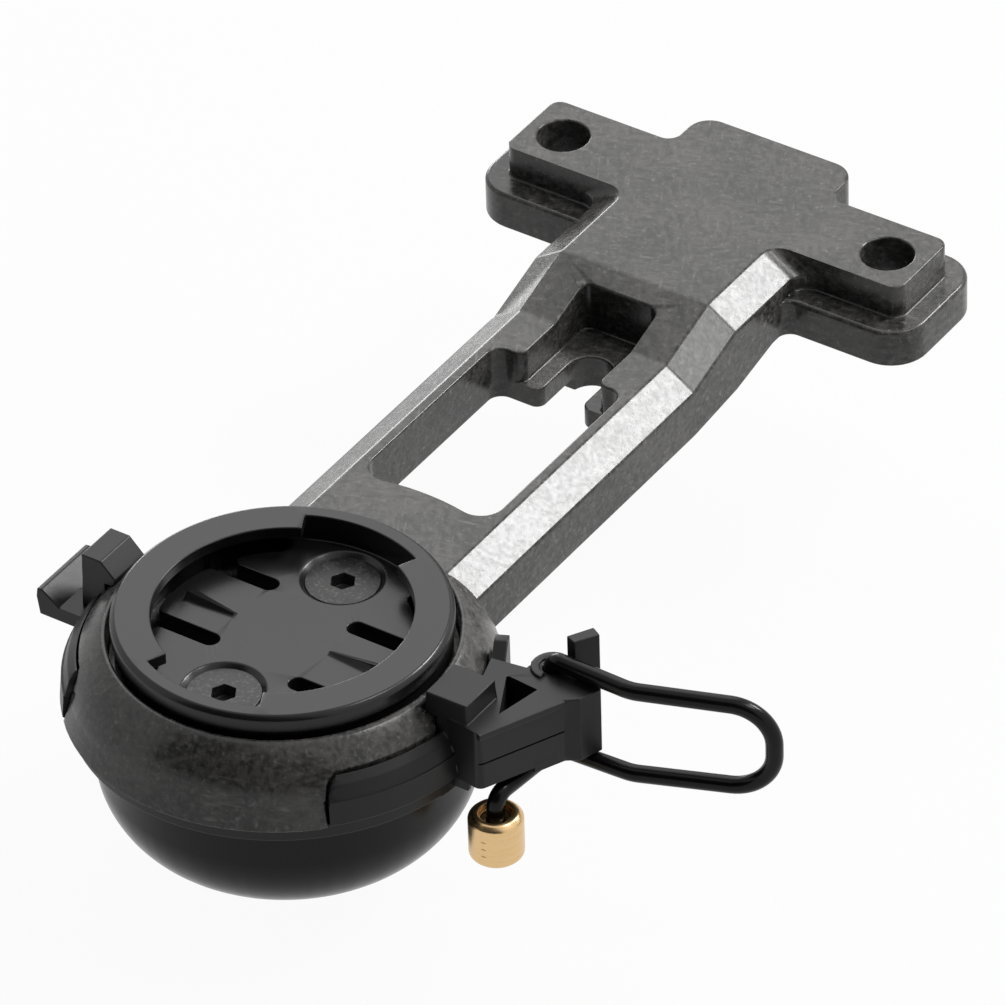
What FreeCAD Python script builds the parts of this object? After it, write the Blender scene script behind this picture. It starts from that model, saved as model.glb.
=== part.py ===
# Out-front bike computer mount with a clip-in bell, in millimetres.
# Origin: midway between the two handlebar bolts, on the top face of the bolt plate.
# +Z is up, +Y runs from the head to the handlebar, +X is the side of the bell lever.
import FreeCAD
import Part
import math
import os
import Sketcher
from FreeCAD import Placement, Rotation, Vector

SIZES = [
    # bolt plate
    ("bolt_spacing", 42.0),
    ("bolt_hole_radius", 2.95),
    ("pad_length", 51.2),
    ("pad_front", 5.0),
    ("pad_back", 5.5),
    ("pad_height", 4.05),
    ("pad_corner", 1.5),
    ("flange_length", 56.4),
    ("flange_depth", 16.2),
    ("flange_corner", 4.5),
    ("flange_round", 0.5),
    ("shoulder_round", 2.3),
    ("plate_thickness", 8.6),
    ("tab_width", 20.4),
    ("tab_reach", 11.4),
    ("tab_corner", 2.8),
    # arm
    ("arm_width", 26.0),
    ("arm_flat", 18.7),
    ("arm_bevel", 2.4),
    ("bend_upper", 17.9),
    ("bend_lower", 26.4),
    ("arm_drop", 2.8),
    ("belly_start", 10.6),
    ("belly_bend", 10.2),
    ("belly_width", 20.8),
    ("rail_depth", 9.4),
    ("window_width", 16.4),
    ("window_back", 33.0),
    ("window_corner", 1.6),
    ("collar_radius", 26.8),
    ("collar_corner", 2.6),
    ("well_width", 9.6),
    ("well_back", 20.5),
    ("well_depth", 6.8),
    ("well_corner", 1.2),
    ("notch_width", 5.2),
    ("notch_centre", 27.2),
    ("arm_overlap", 12.0),
    # head
    ("head_reach", 85.3),
    ("rim_wall", 0.55),
    ("flank_centre", 11.0),
    ("skirt_flare", 0.75),
    ("crease_depth", 8.9),
    ("skirt_radius", 23.7),
    ("skirt_depth", 11.0),
    ("recess_gap", 0.45),
    ("recess_depth", 6.3),
    ("skirt_wall", 2.3),
    ("cavity_depth", 8.6),
    ("band_front_angle", 45.0),
    ("band_rear_angle", 31.0),
    ("band_gap_angle", 0.6),
    ("band_gap", 0.3),
    ("corner_angle", 7.0),
    ("corner_top", 4.6),
    ("corner_foot", 8.2),
    ("hook_width", 5.4),
    ("hook_gap", 0.3),
    ("hook_slot_depth", 3.15),
    ("ledge_depth", 4.0),
    ("ledge_width", 1.35),
    # computer socket
    ("socket_top", 0.4),
    ("socket_radius", 18.0),
    ("socket_flange", 2.0),
    ("socket_bevel", 0.5),
    ("lip_radius", 13.75),
    ("lip_thickness", 1.4),
    ("socket_wall", 2.0),
    ("lug_half_angle", 26.0),
    ("floor_depth", 3.6),
    ("vent_width", 2.1),
    ("vent_half_angle", 57.0),
    ("floor_corner", 0.8),
    ("slot_half", 1.0),
    ("slot_start", 6.0),
    ("slot_near", 4.75),
    ("slot_far", 6.1),
    ("ridge_start", 6.0),
    ("ridge_end", 12.0),
    ("ridge_height", 0.9),
    # socket screws and bushes
    ("screw_pitch", 21.9),
    ("screw_radius", 2.0),
    ("screw_head_radius", 4.0),
    ("screw_head_sink", 0.4),
    ("screw_length", 6.4),
    ("hex_across", 2.5),
    ("hex_depth", 1.5),
    ("bush_radius", 2.5),
    ("bush_depth", 10.5),
    ("boss_radius", 4.2),
    ("thread_gap", 0.02),
    # bell carrier
    ("base_step", 0.8),
    ("base_bottom", 12.7),
    ("band_split", 7.9),
    ("band_top", 5.65),
    ("band_foot", 10.75),
    ("band_taper", 1.0),
    ("ramp_angle", 25.0),
    ("ramp_length", 4.65),
    ("ramp_top", 3.2),
    ("hook_top", 1.15),
    ("hook_bottom", 11.3),
    ("hook_thickness", 3.9),
    ("clip_thickness", 2.95),
    ("foot_bottom", 12.3),
    ("foot_thickness", 0.45),
    ("bracket_top", 3.55),
    ("bracket_bottom", 10.95),
    ("bracket_reach", 13.2),
    ("bracket_corner", 0.9),
    ("lip_drop", 0.75),
    ("lip_overhang", 0.35),
    ("seam_height", 7.6),
    ("seam_width", 0.22),
    ("boss_bottom", 11.7),
    ("collar_rise", 0.35),
    ("stop_top", 0.3),
    ("post_radius", 4.5),
    ("post_bottom", 26.8),
    ("release_width", 8.9),
    ("release_reach", 4.95),
    ("release_top", 6.4),
    ("release_floor", 8.0),
    ("release_bottom", 9.85),
    # bell
    ("dome_radius", 20.45),
    ("dome_rim", 13.0),
    ("dome_wall_end", 18.0),
    ("dome_turn_radius", 13.5),
    ("dome_turn", 27.5),
    ("dome_crown_centre", 4.4),
    ("dome_bottom", 28.8),
    ("dome_flat", 5.0),
    ("dome_thickness", 1.2),
    ("washer_radius", 4.4),
    ("washer_thickness", 0.8),
    ("bell_head_radius", 3.8),
    ("bell_head_height", 2.2),
    # lever
    ("pivot_reach", 3.3),
    ("pivot_y", 9.9),
    ("pivot_gap", 0.06),
    ("boss_wall", 2.3),
    ("wire_radius", 0.95),
    ("leg_top", 2.4),
    ("leg_bottom", 12.9),
    ("tail_depth", 9.8),
    ("knee_reach", 9.8),
    ("loop_reach", 14.2),
    ("loop_rise", 5.1),
    ("knee_bend", 5.0),
    ("loop_bend", 4.62),
    ("elbow_reach", 1.0),
    ("elbow_bend", 2.2),
    ("strike_bend", 1.6),
    ("striker_y", -1.3),
    ("striker_radius", 2.95),
    ("striker_top", 15.0),
    ("striker_height", 5.7),
    ("striker_bevel", 0.6),
]


class Dim:
    """A length together with the spreadsheet expression that gives it."""

    def __init__(self, value, text):
        self.value = value
        self.text = text

    @staticmethod
    def of(number):
        return number if isinstance(number, Dim) else Dim(float(number), "(%r)" % float(number))

    def join(self, other, sign, value):
        return Dim(value, "(%s %s %s)" % (self.text, sign, other.text))

    def __add__(self, other):
        other = Dim.of(other)
        return self.join(other, "+", self.value + other.value)

    def __sub__(self, other):
        other = Dim.of(other)
        return self.join(other, "-", self.value - other.value)

    def __mul__(self, other):
        other = Dim.of(other)
        return self.join(other, "*", self.value * other.value)

    def __truediv__(self, other):
        other = Dim.of(other)
        return self.join(other, "/", self.value / other.value)

    def __radd__(self, other):
        return Dim.of(other) + self

    def __rsub__(self, other):
        return Dim.of(other) - self

    def __rmul__(self, other):
        return Dim.of(other) * self

    def __neg__(self):
        return Dim(-self.value, "(0 - %s)" % self.text)


def root(number):
    return Dim(math.sqrt(number.value), "sqrt(%s)" % number.text)


def least(one, other):
    return Dim(min(one.value, other.value), "min(%s; %s)" % (one.text, other.text))


def sine(angle):
    return Dim(math.sin(math.radians(angle.value)), "sin(%s * 1deg)" % angle.text)


def cosine(angle):
    return Dim(math.cos(math.radians(angle.value)), "cos(%s * 1deg)" % angle.text)


class Sizes:
    """The driving dimensions, each one a named cell of the sheet."""


doc = FreeCAD.newDocument("ComputerMount")
sheet = doc.addObject("Spreadsheet::Sheet", "Sizes")
S = Sizes()
for row, (name, number) in enumerate(SIZES, start=1):
    sheet.set("A%d" % row, name)
    sheet.set("B%d" % row, str(number))
    sheet.setAlias("B%d" % row, name)
    setattr(S, name, Dim(number, "Sizes." + name))
doc.recompute()


class Arc:
    """An arc between two outline points; one coordinate of its centre is given."""

    def __init__(self, cx=None, cy=None, ccw=True):
        self.cx = cx
        self.cy = cy
        self.ccw = ccw

    def centre(self, start, end):
        (x1, y1), (x2, y2) = start, end
        if self.cy is not None:
            cy = Dim.of(self.cy).value
            across = (y2 - cy) ** 2 - (y1 - cy) ** 2
            return ((x2 * x2 - x1 * x1) + across) / (2 * (x2 - x1)), cy
        cx = Dim.of(self.cx).value
        across = (x2 - cx) ** 2 - (x1 - cx) ** 2
        return cx, ((y2 * y2 - y1 * y1) + across) / (2 * (y2 - y1))


def new_body(label, x=None, y=None):
    body = doc.addObject("PartDesign::Body", label)
    body.Label = label
    if x is not None:
        body.setExpression("Placement.Base.x", Dim.of(x).text)
    if y is not None:
        body.setExpression("Placement.Base.y", Dim.of(y).text)
    return body


def new_sketch(body, role, offset=0.0, turn=0.0, out=0.0):
    """A sketch set off along its plane's normal, turned about its upright, then moved out."""
    plane = [f for f in body.Origin.OriginFeatures if f.Role == role][0]
    sketch = body.newObject("Sketcher::SketchObject", "Sketch")
    sketch.AttachmentSupport = [(plane, "")]
    sketch.MapMode = "FlatFace"
    aside = out * sine(Dim.of(turn))
    ahead = offset + out * cosine(Dim.of(turn))
    rotation = Rotation(Vector(0, 1, 0), Dim.of(turn).value)
    sketch.AttachmentOffset = Placement(Vector(aside.value, 0, ahead.value), rotation)
    sketch.setExpression("AttachmentOffset.Base.x", aside.text)
    sketch.setExpression("AttachmentOffset.Base.z", ahead.text)
    if isinstance(turn, Dim):
        sketch.setExpression("AttachmentOffset.Rotation.Angle", turn.text)
    return sketch


def pin(sketch, kind, item, place, number):
    number = Dim.of(number)
    index = sketch.addConstraint(Sketcher.Constraint(kind, -1, 1, item, place, number.value))
    sketch.setExpression("Constraints[%d]" % index, number.text)


def outline(sketch, items):
    """A closed outline of points, each pinned to the sheet, with arcs where asked."""
    points = []
    arcs = {}
    for item in items:
        if isinstance(item, Arc):
            arcs[len(points) - 1] = item
        else:
            points.append(item)
    flat = [(Dim.of(x).value, Dim.of(y).value) for x, y in points]
    ends = []
    for n, start in enumerate(flat):
        stop = flat[(n + 1) % len(flat)]
        if n in arcs:
            cx, cy = arcs[n].centre(start, stop)
            a, b = (start, stop) if arcs[n].ccw else (stop, start)
            circle = Part.Circle(Vector(cx, cy, 0), Vector(0, 0, 1), math.hypot(a[0] - cx, a[1] - cy))
            first = math.atan2(a[1] - cy, a[0] - cx)
            last = math.atan2(b[1] - cy, b[0] - cx)
            if last <= first:
                last += 2 * math.pi
            item = sketch.addGeometry(Part.ArcOfCircle(circle, first, last), False)
            ends.append((item, 1, 2) if arcs[n].ccw else (item, 2, 1))
            if arcs[n].cy is not None:
                pin(sketch, "DistanceY", item, 3, arcs[n].cy)
            else:
                pin(sketch, "DistanceX", item, 3, arcs[n].cx)
        else:
            item = sketch.addGeometry(Part.LineSegment(Vector(*start, 0), Vector(*stop, 0)), False)
            ends.append((item, 1, 2))
    for n, (item, first, last) in enumerate(ends):
        following = ends[(n + 1) % len(ends)]
        sketch.addConstraint(Sketcher.Constraint("Coincident", item, last, following[0], following[1]))
        x, y = points[n]
        pin(sketch, "DistanceX", item, first, x)
        pin(sketch, "DistanceY", item, first, y)
    return sketch


def ring(sketch, x, y, radius):
    x, y, radius = Dim.of(x), Dim.of(y), Dim.of(radius)
    circle = Part.Circle(Vector(x.value, y.value, 0), Vector(0, 0, 1), radius.value)
    item = sketch.addGeometry(circle, False)
    pin(sketch, "DistanceX", item, 3, x)
    pin(sketch, "DistanceY", item, 3, y)
    index = sketch.addConstraint(Sketcher.Constraint("Radius", item, radius.value))
    sketch.setExpression("Constraints[%d]" % index, radius.text)
    return sketch


def feature(body, kind, sketch, **bound):
    made = body.newObject("PartDesign::" + kind, kind)
    made.Profile = sketch
    for key, number in bound.items():
        setattr(made, key, Dim.of(number).value)
        made.setExpression(key, Dim.of(number).text)
    return made


def pad(body, low, high, draw):
    """Material from height low to height high over the outlines that draw puts in the sketch."""
    sketch = new_sketch(body, "XY_Plane", low)
    draw(sketch)
    made = feature(body, "Pad", sketch, Length=Dim.of(high) - low)
    doc.recompute()
    return made


def cut(body, low, high, draw):
    before = body.Shape.Volume
    sketch = new_sketch(body, "XY_Plane", high)
    draw(sketch)
    made = feature(body, "Pocket", sketch, Length=Dim.of(high) - low)
    doc.recompute()
    if body.Shape.Volume > before - 1e-3:
        raise RuntimeError("nothing cut from " + body.Label)
    return made


def turned(body, kind, points, sweep=360.0, offset=0.0, turn=0.0):
    """A turned solid (Revolution) or a turned cut (Groove) about an upright axis."""
    before = body.Shape.Volume if kind == "Groove" else None
    sketch = outline(new_sketch(body, "XZ_Plane", offset, turn), points)
    made = feature(body, kind, sketch, Angle=sweep)
    made.ReferenceAxis = (sketch, ["V_Axis"])
    doc.recompute()
    if before is not None and body.Shape.Volume > before - 1e-3:
        raise RuntimeError("nothing turned off " + body.Label)
    return made


def across(body, width, points, middle=0.0):
    """Material of the given width along Y, centred on middle, over an outline in X and Z."""
    sketch = outline(new_sketch(body, "XZ_Plane", -(Dim.of(middle) + width / 2)), points)
    made = feature(body, "Pad", sketch, Length=width)
    doc.recompute()
    return made


def radial(body, kind, angle, near, far, points, offset=0.0):
    """Material (Pad) or a cut (Pocket) between two distances along a level direction."""
    out = near if kind == "Pad" else far
    sketch = outline(new_sketch(body, "XZ_Plane", offset, angle + 90.0, out), points)
    made = feature(body, kind, sketch, Length=Dim.of(far) - near)
    doc.recompute()
    return made


def round_edges(body, radius, wanted):
    """Rounds every edge for which wanted(edge) holds."""
    base = body.Tip
    names = ["Edge%d" % n for n, e in enumerate(base.Shape.Edges, start=1) if wanted(e)]
    if not names:
        raise RuntimeError("no edge to round on " + body.Label)
    made = body.newObject("PartDesign::Fillet", "Fillet")
    made.Base = (base, names)
    made.Radius = radius.value
    made.setExpression("Radius", radius.text)
    doc.recompute()
    if "Invalid" in made.State or not made.Shape.isValid():
        raise RuntimeError("edges not rounded on " + body.Label)
    return made


def upright_at(x, y):
    """Picks upright straight edges at (+-x, y)."""
    x, y = abs(Dim.of(x).value), Dim.of(y).value

    def wanted(edge):
        if len(edge.Vertexes) != 2:
            return False
        a, b = (v.Point for v in edge.Vertexes)
        if math.hypot(a.x - b.x, a.y - b.y) > 1e-4:
            return False
        return abs(abs(a.x) - x) < 0.02 and abs(a.y - y) < 0.02

    return wanted


# Mount body: one moulding of long-fibre composite. The wide flange of its bolt plate comes first;
# it runs into the sides of the arm with a hollow round, and its upper rim is rounded.
mount = new_body("mount_body")
HEAD_Y = -S.head_reach
half_arm = S.arm_width / 2
half_depth = S.flange_depth / 2
half_flange = S.flange_length / 2
flange_root = -half_depth - S.pad_corner
pad(mount, -S.plate_thickness, -S.pad_height, lambda sketch: outline(sketch, [
    (-half_flange, half_depth),
    (-half_flange, -half_depth),
    (-half_arm - S.pad_corner, -half_depth),
    Arc(cy=flange_root, ccw=False),
    (-half_arm, flange_root),
    (half_arm, flange_root),
    Arc(cy=flange_root, ccw=False),
    (half_arm + S.pad_corner, -half_depth),
    (half_flange, -half_depth),
    (half_flange, half_depth),
]))
round_edges(mount, S.flange_corner, upright_at(half_flange, -half_depth))
round_edges(mount, S.flange_corner, upright_at(half_flange, half_depth))


def flange_rim(edge):
    level = -S.pad_height.value
    if any(abs(v.Z - level) > 0.001 for v in edge.Vertexes):
        return False
    return edge.CenterOfMass.y > flange_root.value + 0.01


round_edges(mount, S.flange_round, flange_rim)


# The cranked arm: straight runs between five upright sections, with a bevel along both top edges.
def arm_section(y, top, bottom):
    flat = S.arm_flat / 2
    low = top - S.arm_bevel
    return outline(new_sketch(mount, "XZ_Plane", -Dim.of(y)), [
        (-half_arm, bottom),
        (half_arm, bottom),
        (half_arm, low),
        (flat, top),
        (-flat, top),
        (-half_arm, low),
    ])


sections = [
    arm_section(S.pad_back, 0.0, -S.plate_thickness),
    arm_section(-S.belly_start, 0.0, -S.plate_thickness),
    arm_section(-S.bend_upper, 0.0, -S.belly_bend),
    arm_section(-S.bend_lower, -S.arm_drop, -S.skirt_depth),
    arm_section(HEAD_Y + S.arm_overlap, -S.arm_drop, -S.skirt_depth),
]
arm = mount.newObject("PartDesign::AdditiveLoft", "Arm")
arm.Profile = sections[0]
arm.Sections = sections[1:]
arm.Ruled = True
doc.recompute()

# Head: a turned cap with a convex flank, a crease and a short flared skirt.
recess_radius = S.socket_radius + S.recess_gap
rim_radius = recess_radius + S.rim_wall
crease_radius = S.skirt_radius - S.skirt_flare
cavity_radius = S.skirt_radius - S.skirt_wall
turned(mount, "Revolution", [
    (0.0, -S.arm_drop),
    (rim_radius, -S.arm_drop),
    Arc(cy=-S.flank_centre, ccw=False),
    (crease_radius, -S.crease_depth),
    (S.skirt_radius, -S.skirt_depth),
    (0.0, -S.skirt_depth),
], offset=S.head_reach)


# The raised pad on the flange, and the tab behind it.
half_pad = S.pad_length / 2
half_tab = S.tab_width / 2
pad(mount, -S.pad_height, 0.0, lambda sketch: outline(sketch, [
    (-half_pad, -S.pad_front),
    (half_pad, -S.pad_front),
    (half_pad, S.pad_back),
    (-half_pad, S.pad_back),
]))
pad(mount, -S.plate_thickness, 0.0, lambda sketch: outline(sketch, [
    (-half_tab, 0.0),
    (half_tab, 0.0),
    (half_tab, S.tab_reach),
    (-half_tab, S.tab_reach),
]))


# The pad runs into the bevels and the sides of the arm with a hollow round.
def hollow(sketch, side, corner):
    reach = least(S.shoulder_round, half_depth - S.pad_front - S.flange_round)
    return outline(sketch, [
        (side * (corner + reach), -S.pad_front),
        Arc(cx=side * (corner + reach), ccw=side > 0),
        (side * corner, -S.pad_front - reach),
        (side * (corner - 1.0), -S.pad_front - reach),
        (side * (corner - 1.0), -S.pad_front + 1.0),
        (side * (corner + reach), -S.pad_front + 1.0),
    ])


def shoulder(side):
    upper = hollow(new_sketch(mount, "XY_Plane", 0.0), side, S.arm_flat / 2)
    lower = hollow(new_sketch(mount, "XY_Plane", -S.arm_bevel), side, half_arm)
    made = mount.newObject("PartDesign::AdditiveLoft", "Shoulder")
    made.Profile = upper
    made.Sections = [lower]
    made.Ruled = True
    doc.recompute()
    pad(mount, -S.pad_height, -S.arm_bevel, lambda sketch: hollow(sketch, side, half_arm))


shoulder(-1)
shoulder(1)
round_edges(mount, S.pad_corner, upright_at(half_pad, -S.pad_front))
round_edges(mount, S.pad_corner, upright_at(half_pad, S.pad_back))
round_edges(mount, S.tab_corner, upright_at(half_tab, S.tab_reach))
round_edges(mount, S.pad_corner, upright_at(half_tab, S.pad_back))

# Two bolt holes straight through the plate.
half_bolts = S.bolt_spacing / 2


def bolt_holes(sketch):
    ring(sketch, -half_bolts, 0.0, S.bolt_hole_radius)
    ring(sketch, half_bolts, 0.0, S.bolt_hole_radius)


cut(mount, -S.plate_thickness - 1.0, 1.0, bolt_holes)

# Arm window: open between the rails, closed by a collar round the head, with a floored
# well behind it whose floor has a round-ended notch.
rail = S.window_width / 2
collar_y = HEAD_Y + root(S.collar_radius * S.collar_radius - rail * rail)
through = -S.skirt_depth - 1.0
cut(mount, through, 1.0, lambda sketch: outline(sketch, [
    (-rail, -S.window_back),
    (-rail, collar_y),
    Arc(cy=HEAD_Y, ccw=False),
    (rail, collar_y),
    (rail, -S.window_back),
]))
belly = S.belly_width / 2
cut(mount, through, -S.rail_depth, lambda sketch: outline(sketch, [
    (-belly, -S.bend_lower),
    (-belly, collar_y + 2.0),
    (belly, collar_y + 2.0),
    (belly, -S.bend_lower),
]))
well = S.well_width / 2
cut(mount, -S.well_depth, 1.0, lambda sketch: outline(sketch, [
    (-well, -S.window_back - 1.0),
    (well, -S.window_back - 1.0),
    (well, -S.well_back),
    (-well, -S.well_back),
]))
notch = S.notch_width / 2
cut(mount, through, -S.well_depth + 0.5, lambda sketch: outline(sketch, [
    (-notch, -S.window_back - 1.0),
    (notch, -S.window_back - 1.0),
    (notch, -S.notch_centre),
    Arc(cy=-S.notch_centre),
    (-notch, -S.notch_centre),
]))
round_edges(mount, S.collar_corner, upright_at(rail, collar_y))
step = rail - well
round_edges(mount, least(S.window_corner, step * 0.55), upright_at(rail, -S.window_back))
round_edges(mount, S.well_corner, upright_at(well, -S.well_back))
round_edges(mount, least(S.well_corner, step * 0.4), upright_at(well, -S.window_back))
round_edges(mount, S.well_corner, upright_at(notch, -S.window_back))

# Head hollows: the recess for the computer socket above, the shallow cavity below, and two
# bosses with bores for the brass bushes.
half_pitch = S.screw_pitch / 2
cut(mount, -S.recess_depth, 1.0, lambda sketch: ring(sketch, 0.0, HEAD_Y, recess_radius))
cut(mount, through, -S.cavity_depth, lambda sketch: ring(sketch, 0.0, HEAD_Y, cavity_radius))


def two_rings(sketch, centre_y, radius):
    ring(sketch, 0.0, centre_y - half_pitch, radius)
    ring(sketch, 0.0, centre_y + half_pitch, radius)


pad(mount, -S.bush_depth, -S.cavity_depth, lambda sketch: two_rings(sketch, HEAD_Y, S.boss_radius))
cut(mount, through, -S.recess_depth + 0.5,
    lambda sketch: two_rings(sketch, HEAD_Y, S.bush_radius + S.thread_gap))

# Skirt openings for the bands of the carrier, one on each side; the front upper corner of each
# is rounded.
outside = S.skirt_radius + 2.0
opening = [
    (cavity_radius, through),
    (outside, through),
    (outside, -S.ledge_depth),
    (cavity_radius, -S.ledge_depth),
]
band_sweep = S.band_front_angle + S.band_rear_angle
square_sweep = band_sweep - S.corner_angle
turned(mount, "Groove", opening, square_sweep, S.head_reach, S.corner_angle - S.band_front_angle)
turned(mount, "Groove", opening, square_sweep, S.head_reach, 180.0 - S.band_rear_angle)
corner_half = cavity_radius * sine(S.corner_angle / 2) * 1.07


def corner_direction(side):
    middle = S.band_front_angle - S.corner_angle / 2
    return -middle if side > 0 else middle + 180.0


for side in (-1, 1):
    radial(mount, "Pocket", corner_direction(side), cavity_radius, outside, [
        (-side * corner_half, through),
        (-side * corner_half, -S.corner_foot),
        Arc(cy=-S.corner_foot, ccw=side < 0),
        (side * corner_half, -S.corner_top),
        (side * (corner_half + 0.6), -S.corner_top),
        (side * (corner_half + 0.6), through),
    ], S.head_reach)

# Slots for the two snap hooks, with the ledge that each hook's nose rests on.
slot_half = S.hook_width / 2 + S.hook_gap
hook_wall = S.skirt_radius - S.hook_slot_depth
ledge_radius = hook_wall - S.ledge_width


def hook_slots(sketch, inner):
    for side in (-1, 1):
        outline(sketch, [
            (side * inner, HEAD_Y - slot_half),
            (side * outside, HEAD_Y - slot_half),
            (side * outside, HEAD_Y + slot_half),
            (side * inner, HEAD_Y + slot_half),
        ])


cut(mount, -S.ledge_depth, 1.0, lambda sketch: hook_slots(sketch, ledge_radius))
cut(mount, through, -S.ledge_depth + 0.5, lambda sketch: hook_slots(sketch, hook_wall))

# Computer socket: a turned nylon disc with a quarter-turn lip.
socket = new_body("computer_insert", y=HEAD_Y)
lug_radius = S.socket_radius - S.socket_wall
vent_radius = lug_radius - S.vent_width
lip_bottom = -S.socket_top - S.lip_thickness
flange_bottom = -S.socket_top - S.socket_flange
turned(socket, "Revolution", [
    (0.0, -S.floor_depth),
    (lug_radius, -S.floor_depth),
    (lug_radius, lip_bottom),
    (S.lip_radius, lip_bottom),
    (S.lip_radius, -S.socket_top),
    (S.socket_radius - S.socket_bevel, -S.socket_top),
    (S.socket_radius, -S.socket_top - S.socket_bevel),
    (S.socket_radius, flange_bottom),
    (S.socket_radius - 0.3, flange_bottom - 0.3),
    (S.socket_radius - 0.3, -S.recess_depth),
    (0.0, -S.recess_depth),
])


# The two gaps in the lip that let the computer's lugs in, fore and aft.
def lug_gaps(sketch):
    for side in (-1, 1):
        wide = lug_radius * sine(S.lug_half_angle)
        far = lug_radius * cosine(S.lug_half_angle)
        narrow = (S.lip_radius - 1.0) * sine(S.lug_half_angle)
        near = (S.lip_radius - 1.0) * cosine(S.lug_half_angle)
        outline(sketch, [
            (wide, side * far),
            Arc(cy=0.0, ccw=side > 0),
            (-wide, side * far),
            (-narrow, side * near),
            (narrow, side * near),
        ])


cut(socket, lip_bottom, 0.5, lug_gaps)


# The open arcs in the floor under the lips, and the slots that free the sprung tongues.
def floor_arcs(sketch):
    for side in (-1, 1):
        far = lug_radius * cosine(S.vent_half_angle)
        wide = lug_radius * sine(S.vent_half_angle)
        near = vent_radius * cosine(S.vent_half_angle)
        narrow = vent_radius * sine(S.vent_half_angle)
        outline(sketch, [
            (side * far, -wide),
            Arc(cx=0.0, ccw=side > 0),
            (side * far, wide),
            (side * near, narrow),
            Arc(cx=0.0, ccw=side < 0),
            (side * near, -narrow),
        ])


def tongue_slots(sketch):
    for side in (-1, 1):
        for y in (side * S.slot_near, -side * S.slot_far):
            outline(sketch, [
                (side * (vent_radius + 0.8), y - S.slot_half),
                (side * (vent_radius + 0.8), y + S.slot_half),
                (side * S.slot_start, y + S.slot_half),
                Arc(cx=side * S.slot_start, ccw=side > 0),
                (side * S.slot_start, y - S.slot_half),
            ])


cut(socket, -S.recess_depth - 1.0, -S.floor_depth, floor_arcs)
cut(socket, -S.recess_depth - 1.0, -S.floor_depth, tongue_slots)


# The corners of the floor along those arcs are rounded.
def floor_tips(edge):
    a, b = edge.Vertexes[0].Point, edge.Vertexes[-1].Point
    upright = math.hypot(a.x - b.x, a.y - b.y) < 1e-4 < abs(a.z - b.z)
    return upright and abs(math.hypot(a.x, a.y) - vent_radius.value) < 0.02


round_edges(socket, S.floor_corner, floor_tips)


# A ridge on each tongue clicks into the computer's lug; it grows outward.
def ridge(side):
    ends = []
    for x, grow in ((S.ridge_start, 0.4), (S.ridge_end, 1.0)):
        tall = S.ridge_height * grow
        ends.append(outline(new_sketch(socket, "YZ_Plane", side * x), [
            (-0.4 - tall, -S.floor_depth - 0.2),
            (-0.2 + tall * 1.8, -S.floor_depth - 0.2),
            (-0.3, -S.floor_depth + tall),
        ]))
    made = socket.newObject("PartDesign::AdditiveLoft", "Ridge")
    made.Profile = ends[0]
    made.Sections = ends[1:]
    made.Ruled = True
    doc.recompute()


ridge(-1)
ridge(1)

# Countersunk holes for the two socket screws.
sink_radius = S.screw_head_radius + S.screw_head_sink + 0.15
bore_radius = S.screw_radius + 0.2
for side in (-1, 1):
    turned(socket, "Groove", [
        (0.0, -S.floor_depth + 0.5),
        (sink_radius, -S.floor_depth + 0.5),
        (sink_radius, -S.floor_depth),
        (bore_radius, -S.floor_depth - sink_radius + bore_radius),
        (bore_radius, -S.recess_depth - 1.0),
        (0.0, -S.recess_depth - 1.0),
    ], offset=side * half_pitch)


# A pair of identical pieces, mirrored fore and aft of the head's centre.
def mirrored_pair(label, body):
    twin = doc.addObject("Part::Mirroring", label + "_twin")
    twin.Source = body
    twin.Normal = Vector(0, 1, 0)
    twin.setExpression("Base.y", HEAD_Y.text)
    pair = doc.addObject("Part::Compound", label)
    pair.Links = [body, twin]
    pair.Label = label
    doc.recompute()
    return pair


# Socket screws: M4 countersunk with a hexagon socket.
screw = new_body("socket_screw", y=HEAD_Y + half_pitch)
head_top = -S.floor_depth - S.screw_head_sink
land = 0.12
turned(screw, "Revolution", [
    (0.0, head_top),
    (S.screw_head_radius, head_top),
    (S.screw_head_radius, head_top - land),
    (S.screw_radius, head_top - land - S.screw_head_radius + S.screw_radius),
    (S.screw_radius, head_top - S.screw_length),
    (0.0, head_top - S.screw_length),
])


def hexagon(sketch, size):
    corner = size / math.sqrt(3.0)
    points = []
    for n in range(6):
        x = corner * math.cos(math.radians(60 * n))
        y = corner * math.sin(math.radians(60 * n))
        points.append((x, y))
    outline(sketch, points)


cut(screw, head_top - S.hex_depth, head_top, lambda sketch: hexagon(sketch, S.hex_across))
insert_screws = mirrored_pair("insert_screws", screw)

# Brass bushes pressed into the head for those screws.
bush = new_body("thread_bush", y=HEAD_Y + half_pitch)
turned(bush, "Revolution", [
    (S.screw_radius + S.thread_gap, -S.recess_depth - 0.1),
    (S.bush_radius, -S.recess_depth - 0.1),
    (S.bush_radius, -S.bush_depth),
    (S.screw_radius + S.thread_gap, -S.bush_depth),
])
thread_inserts = mirrored_pair("thread_inserts", bush)

# Bell carrier: one moulding that snaps into the head from below. Base plate and post first.
carrier = new_body("bell_carrier", y=HEAD_Y)
base_radius = S.skirt_radius - S.base_step
turned(carrier, "Revolution", [
    (0.0, -S.skirt_depth),
    (base_radius, -S.skirt_depth),
    (base_radius, -S.base_bottom),
    (S.post_radius, -S.base_bottom),
    (S.post_radius, -S.post_bottom),
    (0.0, -S.post_bottom),
])
cut(carrier, -S.post_bottom - 1.0, -S.base_bottom - 3.0,
    lambda sketch: ring(sketch, 0.0, 0.0, S.screw_radius + S.thread_gap))

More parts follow.
